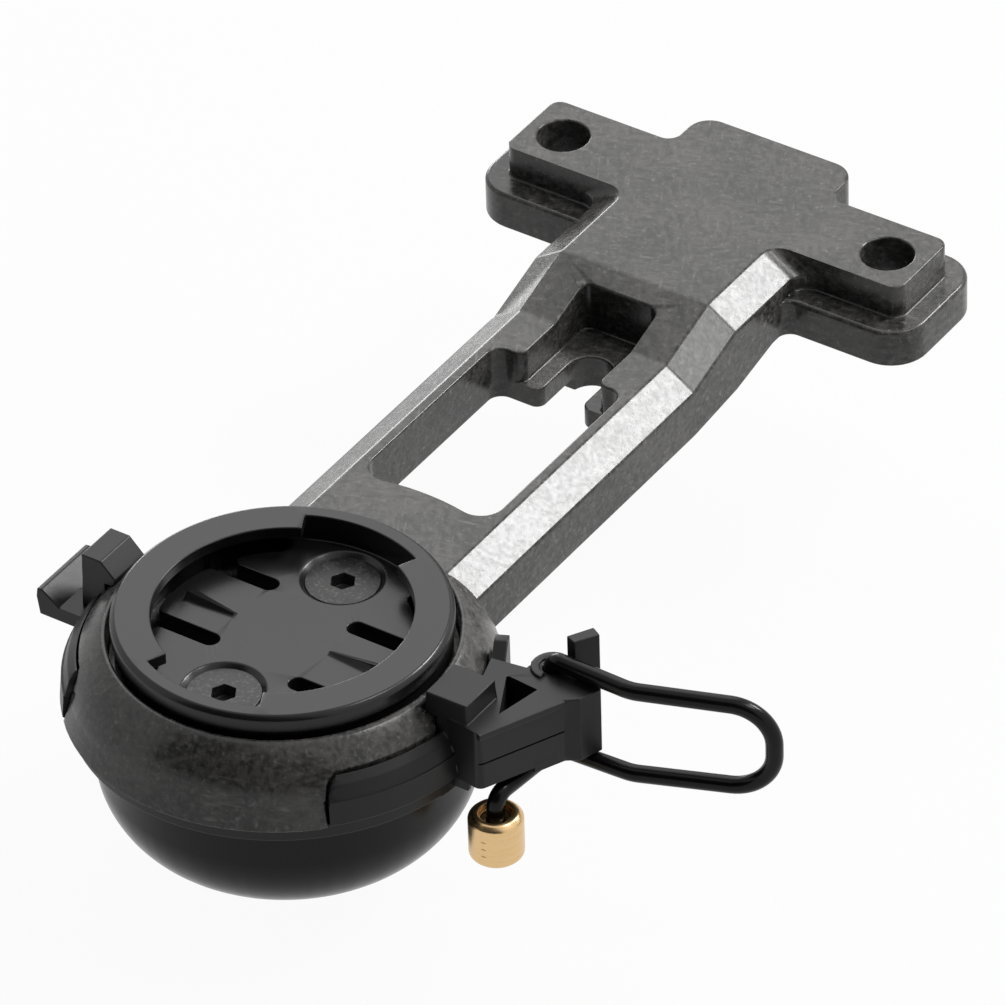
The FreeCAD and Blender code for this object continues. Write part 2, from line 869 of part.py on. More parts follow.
# Bands that fill the skirt openings, with a shallow step along their middle, a groove under
# their foot and the front upper corner rounded like the opening's.
band_inner = cavity_radius + S.band_gap
band_outer = S.skirt_radius - 0.05
band = [
    (band_inner, -S.skirt_depth - 0.1),
    (band_outer - 0.5, -S.skirt_depth - 0.1),
    (band_outer - 0.5, -S.band_foot),
    (band_outer, -S.band_foot),
    (band_outer - 0.25, -S.band_split),
    (band_outer - 0.4, -S.band_split),
    (band_outer - S.band_taper, -S.band_top - 0.75),
    (band_inner + 0.2, -S.band_top),
    (band_inner, -S.band_top),
]
sweep = band_sweep - 2 * S.band_gap_angle
turned(carrier, "Revolution", band, sweep, 0.0, S.band_gap_angle - S.band_front_angle)
turned(carrier, "Revolution", band, sweep, 0.0, 180.0 - S.band_rear_angle + S.band_gap_angle)
for side in (-1, 1):
    radial(carrier, "Pocket", corner_direction(side), cavity_radius - 1.0, outside, [
        (-side * (corner_half + 1.0), -S.corner_foot),
        (-side * (corner_half - S.band_gap), -S.corner_foot),
        Arc(cy=-S.corner_foot, ccw=side < 0),
        (side * corner_half, -S.corner_top - S.band_gap),
        (side * corner_half, -S.corner_top + 1.0),
        (-side * (corner_half + 1.0), -S.corner_top + 1.0),
    ])

# Rear end of the right band: a ramp that rises beside the arm.
radial(carrier, "Pad", S.ramp_angle, band_inner + S.band_gap, band_outer - 0.15, [
    (-0.56 * S.ramp_length, -S.skirt_depth),
    (0.44 * S.ramp_length, -S.skirt_depth),
    (0.44 * S.ramp_length, -S.ramp_top),
    (0.2 * S.ramp_length, -S.ramp_top),
    (-0.56 * S.ramp_length, -S.band_top),
])

# Snap hooks: the noses rest on the ledges of the head. The right one is a plain block on a
# small foot, the left one is bevelled to spring over its ledge.
nose_bottom = -S.ledge_depth + 0.02
hook_nose = ledge_radius + S.hook_gap
hook_inner = hook_wall + S.hook_gap
hook_outer = hook_inner + S.hook_thickness
clip_outer = hook_inner + S.clip_thickness
across(carrier, S.hook_width, [
    (hook_nose, nose_bottom),
    (hook_inner, nose_bottom),
    (hook_inner, -S.hook_bottom),
    (hook_outer, -S.hook_bottom),
    (hook_outer, -S.hook_top),
    (hook_nose + 0.2, -S.hook_top),
])
across(carrier, S.foot_thickness, [
    (hook_outer - 2.1, -S.hook_bottom + 0.8),
    (hook_outer - 2.0, -S.foot_bottom),
    (hook_outer - 0.15, -S.foot_bottom),
    (hook_outer + 0.25, -S.hook_bottom + 0.8),
], middle=(S.foot_thickness - S.hook_width) / 2)
across(carrier, S.hook_width, [
    (-hook_nose, nose_bottom),
    (-hook_inner, nose_bottom),
    (-hook_inner, -S.hook_bottom),
    (-clip_outer, -S.hook_bottom),
    (-clip_outer, -S.hook_top),
    (-clip_outer + 2.5, -S.hook_top),
    (-hook_nose, nose_bottom + 1.0),
])

# Release tab: a thumb ledge out from the left band, with a raised ridge along its end.
release_end = -clip_outer - S.release_reach
across(carrier, S.release_width, [
    (-band_inner - 0.6, -S.release_bottom),
    (release_end + 0.35, -S.release_bottom),
    (release_end, -S.release_top - 1.2),
    (release_end + 0.15, -S.release_top - 0.1),
    (release_end + 0.75, -S.release_top),
    (release_end + 2.95, -S.release_floor),
    (-band_inner - 0.6, -S.release_floor),
])

# Lever bracket: a triangular frame out to the pivot boss. Its front wall has a lip along the
# top and a seam along the middle; the boss end hangs lower.
pivot_x = S.skirt_radius + S.pivot_reach
pivot_y = S.pivot_y
wall_near = (pivot_x - 0.5, pivot_y - S.bracket_reach)
wall_far = (pivot_x + 3.9, pivot_y - 3.9)


def bracket_frame(sketch):
    outline(sketch, [
        (band_inner + 0.6, -S.hook_width / 2),
        wall_near,
        wall_far,
        (pivot_x + 5.3, pivot_y - 2.9),
        (pivot_x + 6.2, pivot_y - 0.3),
        (pivot_x + 2.2, pivot_y + 1.9),
        (pivot_x - 1.0, pivot_y + 1.9),
        (pivot_x - 2.4, pivot_y - 1.3),
        (band_inner - 1.0, pivot_y - 1.9),
        (band_inner + 0.5, 3.0),
    ])
    outline(sketch, [
        (pivot_x - 3.3, pivot_y - 3.7),
        (pivot_x - 0.5, pivot_y - 9.3),
        (pivot_x + 0.7, pivot_y - 3.7),
    ])


def wall_strip(sketch, inside, past):
    """A strip along the front wall, reaching inside it and past it."""
    (x1, y1), (x2, y2) = wall_near, wall_far
    length = root((x2 - x1) * (x2 - x1) + (y2 - y1) * (y2 - y1))
    nx = (y2 - y1) / length
    ny = (x1 - x2) / length
    outline(sketch, [
        (x1 - nx * inside, y1 - ny * inside),
        (x2 - nx * inside, y2 - ny * inside),
        (x2 + nx * past, y2 + ny * past),
        (x1 + nx * past, y1 + ny * past),
    ])


def boss_end(sketch):
    outline(sketch, [
        (pivot_x + 2.35, pivot_y - 7.2),
        wall_far,
        (pivot_x + 5.3, pivot_y - 2.9),
        (pivot_x + 6.2, pivot_y - 0.3),
        (pivot_x + 2.2, pivot_y + 1.9),
        (pivot_x - 1.0, pivot_y + 1.9),
        (pivot_x - 2.4, pivot_y - 1.3),
        (pivot_x - 2.4, pivot_y - 2.9),
        (pivot_x + 1.1, pivot_y - 2.9),
        (pivot_x + 0.4, pivot_y - 7.2),
    ])


def stop_post(sketch):
    outline(sketch, [
        (pivot_x + 0.6, pivot_y + 1.8),
        (pivot_x + 1.9, pivot_y + 1.25),
        (pivot_x + 3.45, pivot_y + 3.8),
        (pivot_x + 2.2, pivot_y + 4.5),
    ])


def collar(sketch):
    outline(sketch, [
        (pivot_x, pivot_y + S.boss_wall),
        Arc(cx=pivot_x),
        (pivot_x, pivot_y - S.boss_wall),
        (pivot_x, pivot_y - S.boss_wall + 0.9),
        Arc(cx=pivot_x, ccw=False),
        (pivot_x, pivot_y + S.boss_wall - 0.9),
    ])


pad(carrier, -S.bracket_bottom, -S.bracket_top, bracket_frame)
round_edges(carrier, S.bracket_corner, upright_at(*wall_near))
lip_low = -S.bracket_top - S.lip_drop
pad(carrier, lip_low, -S.bracket_top, lambda sketch: wall_strip(sketch, 1.0, S.lip_overhang))
cut(carrier, -S.seam_height - S.seam_width, -S.seam_height, lambda sketch: wall_strip(sketch, 0.25, 1.0))
pad(carrier, -S.boss_bottom, -S.bracket_bottom + 0.5, boss_end)
pad(carrier, -S.boss_bottom, -S.bracket_top, lambda sketch: ring(sketch, pivot_x, pivot_y, S.boss_wall))
pad(carrier, -S.boss_bottom, -S.stop_top, stop_post)
pad(carrier, -S.bracket_top - 0.5, -S.bracket_top + S.collar_rise, collar)
pivot_bore = S.wire_radius + S.pivot_gap
cut(carrier, -S.boss_bottom - 1.0, -S.bracket_top + 0.5,
    lambda sketch: ring(sketch, pivot_x, pivot_y, pivot_bore))

# Clearance in the base plate's edge for the striker arm at the end of its swing.
clear = base_radius - 0.9
cut(carrier, -S.base_bottom - 1.0, -S.hook_bottom - 0.3, lambda sketch: outline(sketch, [
    (clear, -2.25),
    (base_radius + 2.0, -2.25),
    (base_radius + 2.0, 4.0),
    (clear, 4.0),
]))

# Bell dome: a thin turned shell, its wall running into a rounded shoulder and a low crown.
dome = new_body("bell_dome", y=HEAD_Y)
thick = S.dome_thickness
wall_drop = S.dome_turn - S.dome_wall_end
turn_gap = S.dome_turn_radius - S.dome_radius
squares = S.dome_turn_radius * S.dome_turn_radius - S.dome_radius * S.dome_radius
turn_x = (squares + wall_drop * wall_drop) / (2 * turn_gap)
turn_r = S.dome_radius - turn_x
inner_turn_x = S.dome_turn_radius - thick * (S.dome_turn_radius - turn_x) / turn_r
inner_turn_z = -S.dome_turn + thick * wall_drop / turn_r
hole = S.screw_radius + 0.2
turned(dome, "Revolution", [
    (S.dome_radius, -S.dome_rim),
    (S.dome_radius, -S.dome_wall_end),
    Arc(cy=-S.dome_wall_end, ccw=False),
    (S.dome_turn_radius, -S.dome_turn),
    Arc(cy=-S.dome_crown_centre, ccw=False),
    (S.dome_flat, -S.dome_bottom),
    (hole, -S.dome_bottom),
    (hole, -S.dome_bottom + thick),
    (S.dome_flat, -S.dome_bottom + thick),
    Arc(cy=-S.dome_crown_centre),
    (inner_turn_x, inner_turn_z),
    Arc(cy=-S.dome_wall_end),
    (S.dome_radius - thick, -S.dome_wall_end),
    (S.dome_radius - thick, -S.dome_rim),
])

# Soft washers above and below the dome's flat.
washer = new_body("soft_washer", y=HEAD_Y)


def washer_outline(top):
    return [
        (hole, top),
        (S.washer_radius, top),
        (S.washer_radius, top - S.washer_thickness),
        (hole, top - S.washer_thickness),
    ]


turned(washer, "Revolution", washer_outline(-S.dome_bottom + thick + S.washer_thickness))
lower_washer = new_body("lower_washer", y=HEAD_Y)
turned(lower_washer, "Revolution", washer_outline(-S.dome_bottom))
bell_washers = doc.addObject("Part::Compound", "bell_washers")
bell_washers.Links = [washer, lower_washer]
bell_washers.Label = "bell_washers"

# Button-head screw up into the post.
bell_screw = new_body("bell_screw", y=HEAD_Y)
under = -S.dome_bottom - S.washer_thickness
turned(bell_screw, "Revolution", [
    (0.0, -S.base_bottom - 4.0),
    (S.screw_radius, -S.base_bottom - 4.0),
    (S.screw_radius, under),
    (S.bell_head_radius, under),
    (S.bell_head_radius, under - 0.4),
    (S.bell_head_radius - 1.5, under - S.bell_head_height),
    (0.0, under - S.bell_head_height),
])
hex_low = under - S.bell_head_height - 0.5
cut(bell_screw, hex_low, hex_low + S.hex_depth, lambda sketch: hexagon(sketch, S.hex_across))

# Striker: a brass slug with a counterbored top, pressed on the wire.
striker = new_body("striker", x=pivot_x, y=HEAD_Y + S.striker_y)
press = S.wire_radius + S.thread_gap
slug_low = -S.striker_top - S.striker_height
turned(striker, "Revolution", [
    (0.0, slug_low),
    (S.striker_radius - S.striker_bevel, slug_low),
    (S.striker_radius, slug_low + S.striker_bevel),
    (S.striker_radius, -S.striker_top - S.striker_bevel),
    (S.striker_radius - S.striker_bevel, -S.striker_top),
    (press + 0.8, -S.striker_top),
    (press + 0.8, -S.striker_top - 0.9),
    (press, -S.striker_top - 0.9),
    (press, slug_low + 1.2),
    (0.0, slug_low + 1.2),
])


# Lever wire: a round wire bent through a list of corners, each corner with its own bend radius.
def bent_wire(corners, bends, radius):
    edges = []
    start = corners[0]
    for before, corner, after, bend in zip(corners, corners[1:], corners[2:], bends):
        back = (before - corner).normalize()
        ahead = (after - corner).normalize()
        half = back.getAngle(ahead) / 2
        reach = bend / math.tan(half)
        first = corner + back * reach
        last = corner + ahead * reach
        middle = (back + ahead).normalize()
        top = corner + middle * (bend / math.sin(half) - bend)
        edges.append(Part.LineSegment(start, first).toShape())
        edges.append(Part.Arc(first, top, last).toShape())
        start = last
    edges.append(Part.LineSegment(start, corners[-1]).toShape())
    spine = Part.Wire(edges)
    profile = Part.Wire(Part.Circle(corners[0], corners[1] - corners[0], radius).toShape())
    return spine.makePipeShell([profile], True, True)


top_z = -S.leg_top.value
bottom_z = -S.leg_bottom.value
up = Vector(0, 0, 1)
pivot = Vector(pivot_x.value, pivot_y.value, 0)
knee = pivot + Vector(S.knee_reach.value, -0.2, 0)
tip = knee + Vector(S.loop_reach.value, S.loop_rise.value, 0)
low_knee = knee + Vector(0.2, -0.4, 0)
elbow = pivot + Vector(S.elbow_reach.value, -S.elbow_reach.value, 0)
strike = Vector(pivot_x.value, S.striker_y.value, 0)
lever_corners = [
    pivot - up * S.tail_depth.value,
    pivot + up * top_z,
    knee + up * top_z,
    tip + up * top_z,
    tip + up * bottom_z,
    low_knee + up * bottom_z,
    elbow + up * bottom_z,
    strike + up * bottom_z,
    strike + up * (slug_low.value + 1.5),
]
lever_bends = [
    S.wire_radius.value + 0.2,
    S.knee_bend.value,
    S.loop_bend.value,
    S.loop_bend.value,
    S.knee_bend.value,
    S.elbow_bend.value,
    S.strike_bend.value,
]
lever_wire = doc.addObject("Part::Feature", "lever_wire")
lever_wire.Label = "lever_wire"
lever_wire.Shape = bent_wire(lever_corners, lever_bends, S.wire_radius.value)
lever_wire.Placement = Placement(Vector(0, HEAD_Y.value, 0), Rotation())
doc.recompute()

NODES = [
    mount,
    socket,
    insert_screws,
    thread_inserts,
    carrier,
    dome,
    bell_washers,
    bell_screw,
    lever_wire,
    striker,
]
for thing in doc.Objects:
    if "Invalid" in thing.State or "Error" in thing.State:
        raise RuntimeError("failed: " + thing.Name)
for node in NODES:
    if node.Shape.isNull() or not node.Shape.isValid():
        raise RuntimeError("bad shape: " + node.Label)
os.makedirs("parts", exist_ok=True)
for node in NODES:
    node.Shape.exportStep("parts/%s.step" % node.Label)
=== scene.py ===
import math

import bmesh
import bpy
from mathutils import Matrix, Vector
from mathutils.bvhtree import BVHTree
from mathutils.kdtree import KDTree


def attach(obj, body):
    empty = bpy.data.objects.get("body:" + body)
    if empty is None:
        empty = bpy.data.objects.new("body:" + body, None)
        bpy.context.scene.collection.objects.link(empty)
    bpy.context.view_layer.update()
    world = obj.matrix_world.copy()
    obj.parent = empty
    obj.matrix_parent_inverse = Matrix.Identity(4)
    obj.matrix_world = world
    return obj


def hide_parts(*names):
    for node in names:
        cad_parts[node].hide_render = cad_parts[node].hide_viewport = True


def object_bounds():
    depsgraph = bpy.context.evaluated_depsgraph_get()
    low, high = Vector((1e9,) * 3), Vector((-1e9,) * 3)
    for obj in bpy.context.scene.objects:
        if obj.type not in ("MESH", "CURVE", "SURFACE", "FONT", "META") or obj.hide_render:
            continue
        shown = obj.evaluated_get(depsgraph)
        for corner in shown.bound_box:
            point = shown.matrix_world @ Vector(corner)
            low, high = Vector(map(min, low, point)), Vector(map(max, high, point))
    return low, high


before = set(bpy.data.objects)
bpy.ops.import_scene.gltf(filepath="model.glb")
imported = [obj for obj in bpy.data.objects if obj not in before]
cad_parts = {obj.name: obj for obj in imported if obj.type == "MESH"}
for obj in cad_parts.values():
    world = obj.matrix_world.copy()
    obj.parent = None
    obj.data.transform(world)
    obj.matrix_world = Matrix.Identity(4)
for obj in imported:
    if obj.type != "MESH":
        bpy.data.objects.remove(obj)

cad_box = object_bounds()

# Mount body: one compression moulding of long-fibre composite, with bolt plate, cranked arm and head.
# Its satin skin shows the chopped fibres as short flecks lying every way, and a fine grain.
# Every other piece is fixed to it.
MM = 0.001
MOUNT_EDGE = 0.25 * MM
RESIN = (0.021, 0.0203, 0.0198, 1)
FIBRE_GREY = (0.08, 0.0768, 0.074, 1)
FIBRE_PALE = (0.26, 0.252, 0.245, 1)
FLECK = (1.5 * MM, 0.7 * MM, 0.7 * MM)
FIBRE = (4 * MM, 0.5 * MM, 0.5 * MM)
WELD = 0.001 * MM
SHARP_BEND = math.radians(12)
SOFT_BEND = math.radians(36)
EASING_STEPS = 3
REACHES = (1.0, 1.3, 1.6, 2.0, 3.0, 4.0, 5.0)


class Field:
    """A value that varies over a surface: a node's socket that takes part in arithmetic."""

    def __init__(self, socket):
        self.socket = socket

    def node(self, kind, settings, inputs, output=0):
        """An output of a new node, with the node's settings set first and then its sockets."""
        made = self.socket.id_data.nodes.new(kind)
        for name, setting in settings.items():
            setattr(made, name, setting)
        for name, value in inputs.items():
            if isinstance(value, Field):
                self.socket.id_data.links.new(value.socket, made.inputs[name])
            else:
                made.inputs[name].default_value = value
        return Field(made.outputs[output])

    def math(self, operation, first, second):
        return self.node("ShaderNodeMath", {"operation": operation}, {0: first, 1: second})

    def __add__(self, other):
        return self.math("ADD", self, other)

    def __sub__(self, other):
        return self.math("SUBTRACT", self, other)

    def __mul__(self, other):
        return self.math("MULTIPLY", self, other)

    def __rsub__(self, other):
        return self.math("SUBTRACT", other, self)

    __radd__ = __add__
    __rmul__ = __mul__

    def most(self, other):
        return self.math("MAXIMUM", self, other)

    def least(self, other):
        return self.math("MINIMUM", self, other)

    def between(self, low, high):
        """0 below low, 1 above high, smooth between."""
        sockets = {"Value": self, "From Min": low, "From Max": high}
        return self.node("ShaderNodeMapRange", {"interpolation_type": "SMOOTHSTEP"}, sockets)

    def noise(self, size, detail=3.0):
        """Cloudy variation of about this size."""
        return self.node("ShaderNodeTexNoise", {}, {"Vector": self, "Scale": 1 / size, "Detail": detail})

    def streaks(self, turn, sizes):
        """Cloudy variation of three sizes along axes turned about the upright."""
        sockets = {"Vector": self, "Rotation": (0, 0, turn), "Scale": sizes}
        return self.node("ShaderNodeMapping", {"vector_type": "TEXTURE"}, sockets).noise(1.0)

    def mix(self, first, second):
        """A colour between two others, by this value."""
        return self.node("ShaderNodeMix", {"data_type": "RGBA"}, {0: self, 6: first, 7: second}, 2)

    def bump(self, depth):
        return self.node("ShaderNodeBump", {}, {"Height": self, "Distance": depth})


def new_finish(name, **constants):
    """A material, its shader and the place on the surface, in the part's own frame."""
    material = bpy.data.materials.new(name)
    material.use_nodes = True
    shader = material.node_tree.nodes["Principled BSDF"]
    for socket, value in constants.items():
        shader.inputs[socket.replace("_", " ")].default_value = value
    return material, shader, Field(material.node_tree.nodes.new("ShaderNodeTexCoord").outputs["Object"])


def feed(shader, **fields):
    """Links varying values to a shader's sockets."""
    for name, field in fields.items():
        shader.id_data.links.new(field.socket, shader.inputs[name.replace("_", " ")])


def strays(shape, surface, width):
    """Points where a rounding has left the surface it was cut from, or has folded over."""
    around = width * 0.9
    too_far = width * 0.5
    least_facing = 0.25
    sliver = 2e-13
    points = []
    for loops in shape.calc_loop_triangles():
        corners = [loop.vert.co for loop in loops]
        normal = (corners[1] - corners[0]).cross(corners[2] - corners[0])
        middle = (corners[0] + corners[1] + corners[2]) / 3
        near = surface.find_nearest_range(middle, around) or [surface.find_nearest(middle)]
        folded = max(normal.dot(hit[1]) for hit in near) < normal.length * least_facing
        if normal.length > sliver and (folded or min(hit[3] for hit in near) > too_far):
            points.append(middle)
            points.extend(corner for corner in corners if surface.find_nearest(corner)[3] > too_far)
    return points


def clear(edge, points, gap):
    """Whether no point lies within a gap of an edge."""
    start, end = (vert.co for vert in edge.verts)
    parts = int((end - start).length / gap) * 2 + 2
    return all(points.find(start.lerp(end, part / parts))[2] > gap for part in range(parts + 1))


def eased(node, name, width):
    """A copy of a CAD node with its sharp edges rounded, standing for the node."""
    plain = bmesh.new()
    plain.from_mesh(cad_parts[node].data)
    bmesh.ops.remove_doubles(plain, verts=plain.verts, dist=WELD)
    plain.edges.index_update()
    plain.edges.ensure_lookup_table()
    surface = BVHTree.FromBMesh(plain)
    sharp = [edge.index for edge in plain.edges if edge.calc_face_angle(0) > SHARP_BEND]
    # Where a rounding goes astray, the edges around stay sharp, further out at each new try.
    for reach in REACHES:
        shape = plain.copy()
        shape.edges.ensure_lookup_table()
        rounded = bmesh.ops.bevel(
            shape, geom=[shape.edges[index] for index in sharp], offset=width, offset_type="OFFSET",
            segments=EASING_STEPS, profile=0.5, affect="EDGES", clamp_overlap=False,
            face_strength_mode="ALL",
        )["faces"]
        astray = strays(shape, surface, width)
        if not astray:
            break
        points = KDTree(len(astray))
        for index, point in enumerate(astray):
            points.insert(point, index)
        points.balance()
        sharp = [index for index in sharp if clear(plain.edges[index], points, reach * width)]
    shape.normal_update()
    for face in shape.faces:
        face.smooth = True
    soft = {edge for face in rounded for edge in face.edges}
    for edge in shape.edges:
        edge.smooth = edge.calc_face_angle(0) < (SOFT_BEND if edge in soft else SHARP_BEND)
    mesh = bpy.data.meshes.new(name)
    shape.to_mesh(mesh)
    piece = bpy.data.objects.new(name, mesh)
    bpy.context.scene.collection.objects.link(piece)
    flat_faces = piece.modifiers.new("flat_faces", "WEIGHTED_NORMAL")
    flat_faces.keep_sharp = True
    flat_faces.use_face_influence = True
    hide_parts(node)
    return piece


def fix(piece, body, material):
    """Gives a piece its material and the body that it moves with."""
    piece.data.materials.append(material)
    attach(piece, body)


composite, shader, place = new_finish("moulded_composite", IOR=1.4)
patches = place.noise(4 * MM).between(0.42, 0.58)
along = place.streaks(0.5, FLECK)
across = place.streaks(-0.9, FLECK)
flecks = patches * along + (1 - patches) * across
grain = place.noise(0.5 * MM)
clouds = place.noise(9 * MM, detail=6.0)
mottle = (flecks * 0.5 + grain * 0.2 + clouds * 0.3).between(0.38, 0.62)
fibres = place.streaks(0.3, FIBRE).between(0.6, 0.8)
cross_fibres = place.streaks(-1.1, FIBRE).between(0.6, 0.8)
pale_grain = place.noise(0.7 * MM).between(0.58, 0.78)
lines = fibres.most(cross_fibres).most(pale_grain) * 0.45
feed(
    shader,
    Base_Color=lines.mix(mottle.mix(RESIN, FIBRE_GREY), FIBRE_PALE),
    Roughness=0.19 + mottle * 0.07 + grain * 0.06,
    Normal=(flecks * 0.3 + grain * 0.7).bump(0.02 * MM),
)
mount_shell = eased("mount_body", "mount_shell", MOUNT_EDGE)
fix(mount_shell, "mount", composite)

# Thread bushes: two plain brass turnings pressed into the head under the socket, one for each of the
# socket's screws. They keep the marks of the turning tool as fine rings.
BUSH_EDGE = 0.1 * MM
BRASS_DEEP = (0.66, 0.43, 0.2, 1)
BRASS_BRIGHT = (0.78, 0.56, 0.3, 1)
RING = (9 * MM, 9 * MM, 0.25 * MM)


def turned_brass(name):
    """Brass with fine level rings: the material, its shader, the place on the surface and the colour."""
    material, shader, place = new_finish(name, Metallic=1.0)
    rings = place.streaks(0, RING)
    colour = rings.mix(BRASS_DEEP, BRASS_BRIGHT)
    feed(shader, Base_Color=colour, Roughness=0.22 + rings * 0.12, Normal=rings.bump(0.002 * MM))
    return material, shader, place, colour


bushes = eased("thread_inserts", "bushes", BUSH_EDGE)
fix(bushes, "mount", turned_brass("turned_brass")[0])

# Computer socket: a satin black nylon disc let into the head and held by two screws, with the quarter-turn
# lip and the two sprung tongues moulded in one. Its skin is finer than the mount's, and its edges are crisp.
SOCKET_EDGE = 0.16 * MM
NYLON_DEEP = (0.007, 0.007, 0.0072, 1)
NYLON_PALE = (0.012, 0.012, 0.0123, 1)
nylon, shader, place = new_finish("socket_nylon", IOR=1.38)
grain = place.noise(0.22 * MM)
drift = place.noise(6 * MM)
feed(
    shader,
    Base_Color=drift.mix(NYLON_DEEP, NYLON_PALE),
    Roughness=0.2 + drift * 0.06 + grain * 0.05,
    Normal=grain.bump(0.004 * MM),
)
socket_disc = eased("computer_insert", "socket_disc", SOCKET_EDGE)
fix(socket_disc, "mount", nylon)

# Socket screws: two countersunk steel screws with hex sockets, blacked with an oxide skin. The oxide is
# speckled where the pressing has scuffed it.
SCREW_EDGE = 0.06 * MM
OXIDE_BLACK = (0.03, 0.03, 0.03, 1)
OXIDE_SCUFF = (0.1, 0.097, 0.094, 1)
oxide, shader, place = new_finish("black_oxide", Metallic=0.5)
specks = place.noise(0.35 * MM, detail=4.0).between(0.5, 0.75)
feed(
    shader,
    Base_Color=specks.mix(OXIDE_BLACK, OXIDE_SCUFF),
    Roughness=0.42 + specks * 0.12,
    Normal=specks.bump(0.008 * MM),
)
screw_pair = eased("insert_screws", "screw_pair", SCREW_EDGE)
fix(screw_pair, "mount", oxide)

# Bell carrier: one black plastic moulding that snaps over the head's skirt with two hooks. It holds the
# lever bracket on its right, the release tab on its left and the post that the bell hangs from.
CARRIER_EDGE = 0.16 * MM
PLASTIC_DEEP = (0.01, 0.01, 0.0103, 1)
PLASTIC_PALE = (0.018, 0.018, 0.0185, 1)
satin_black, shader, place = new_finish("satin_black_plastic", IOR=1.32)
grain = place.noise(0.25 * MM)
drift = place.noise(4 * MM)
feed(
    shader,
    Base_Color=drift.mix(PLASTIC_DEEP, PLASTIC_PALE),
    Roughness=0.3 + drift * 0.1 + grain * 0.06,
    Normal=grain.bump(0.006 * MM),
)
carrier = eased("bell_carrier", "carrier_moulding", CARRIER_EDGE)
fix(carrier, "mount", satin_black)

# Bell: a thin spun metal dome with a gloss black coat, hung from the carrier's post under the head. Its rim
# stands open round the carrier's base plate.
DOME_EDGE = 0.2 * MM
COAT_DEEP = (0.004, 0.004, 0.0041, 1)
COAT_PALE = (0.007, 0.007, 0.0071, 1)
gloss_black, shader, place = new_finish("gloss_black_coat", IOR=1.26)
drift = place.noise(4 * MM)
feed(shader, Base_Color=drift.mix(COAT_DEEP, COAT_PALE), Roughness=0.18 + drift * 0.08)
dome = eased("bell_dome", "dome_shell", DOME_EDGE)
fix(dome, "mount", gloss_black)

# Bell washers: two soft rings punched from rubber sheet, one on each side of the dome's flat. They keep
# the dome free of the post and of the screw, so that it rings.
WASHER_EDGE = 0.12 * MM
RUBBER_DEEP = (0.012, 0.012, 0.012, 1)
RUBBER_PALE = (0.03, 0.03, 0.03, 1)
soft_rubber, shader, place = new_finish("soft_rubber", IOR=1.45)
grain = place.noise(0.4 * MM)
feed(shader, Base_Color=grain.mix(RUBBER_DEEP, RUBBER_PALE), Roughness=0.7 + grain * 0.15)
washers = eased("bell_washers", "washers", WASHER_EDGE)
fix(washers, "mount", soft_rubber)

# Bell screw: a button-head steel screw up through the dome into the post, blacked as the socket's screws
# are. It is seen from below.
BOLT_EDGE = 0.15 * MM
bell_bolt = eased("bell_screw", "bell_bolt", BOLT_EDGE)
fix(bell_bolt, "mount", oxide)

# Lever: one length of spring wire, bent into pivot tail, trigger loop and striker arm. Its tail turns in the
# carrier's bracket, and it has the bell's gloss black coat.
WIRE_EDGE = 0.1 * MM
wire = eased("lever_wire", "lever_rod", WIRE_EDGE)
fix(wire, "lever", gloss_black)

# Striker: a turned brass slug, bored through and pressed on the end of the wire. It is left bright, with
# the same turning marks as the bushes. Three short dents from the pressing in its front are not in its
# shape: their shade is painted into the colour as three short dark brown marks.
SLUG_EDGE = 0.2 * MM
# Where and how large the painted shade of the three pressing dents is, and its dark brown colour.
TOP_DENT_SHADE = Vector((27.35, -89.5, -17.0)) * MM
DENT_SHADE_STEP = Vector((0, 0, -0.93)) * MM
DENT_SHADE_HALF = Vector((0.36, 1.5, 0.1)) * MM
DENT_SHADE_BROWN = (0.2, 0.11, 0.045, 1)


def dent_shade(place, row):
    """1 inside the painted shade of the short level dent of a row, counted from the top, and 0 outside it.
    """
    sockets = {"Vector": place, "Location": TOP_DENT_SHADE + DENT_SHADE_STEP * row, "Scale": DENT_SHADE_HALF}
    inside = place.node("ShaderNodeMapping", {"vector_type": "TEXTURE"}, sockets)
    return 1 - inside.node("ShaderNodeVectorMath", {"operation": "LENGTH"}, {0: inside}, 1).between(0.5, 1.1)


brass_with_painted_dent_shade, shader, place, brass = turned_brass("brass_with_painted_dent_shade")
painted_dent_shades = dent_shade(place, 0) + dent_shade(place, 1) + dent_shade(place, 2)
# Painted shade: the dents' dark is mixed into the brass colour, for the shape has no dents.
feed(shader, Base_Color=(painted_dent_shades * 0.8).mix(brass, DENT_SHADE_BROWN))
slug = eased("striker", "striker_slug", SLUG_EDGE)
fix(slug, "lever", brass_with_painted_dent_shade)

# Studio: a white floor just under the bell, in white surroundings. The key lamp stands behind to the right,
# with a dimmer one above it, and a broad faint one and a low one stand behind to the left. A black card hung
# behind the camera darkens what the front mirrors.
FLOOR_GAP = 0.5 * MM
FLOOR_HALF = 3.0
FLOOR_GLOW = 0.95
FLOOR_GREY = (0.6, 0.6, 0.6, 1)
CARD_LEFT, CARD_RIGHT = -1.2, 2.6
CARD_FOOT, CARD_TOP = 0.28, 2.8
CARD_FRONT = -1.6
CARD_BLACK = (0.01, 0.01, 0.01, 1)
SKY = 0.18
LIT_POINT = Vector((0, -45, -5)) * MM
LAMP_DISTANCE = 0.8


def soft_lamp(name, direction, size, brightness):
    """A round lamp that faces the object, with its brightness seen face on."""
    data = bpy.data.lights.new(name, "AREA")
    data.shape = "DISK"
    data.size = size
    data.energy = brightness * (math.pi * size / 2) ** 2
    lamp = bpy.data.objects.new(name, data)
    lamp.location = LIT_POINT + direction.normalized() * LAMP_DISTANCE
    lamp.rotation_mode = "QUATERNION"
    lamp.rotation_quaternion = direction.to_track_quat("Z", "Y")
    bpy.context.scene.collection.objects.link(lamp)


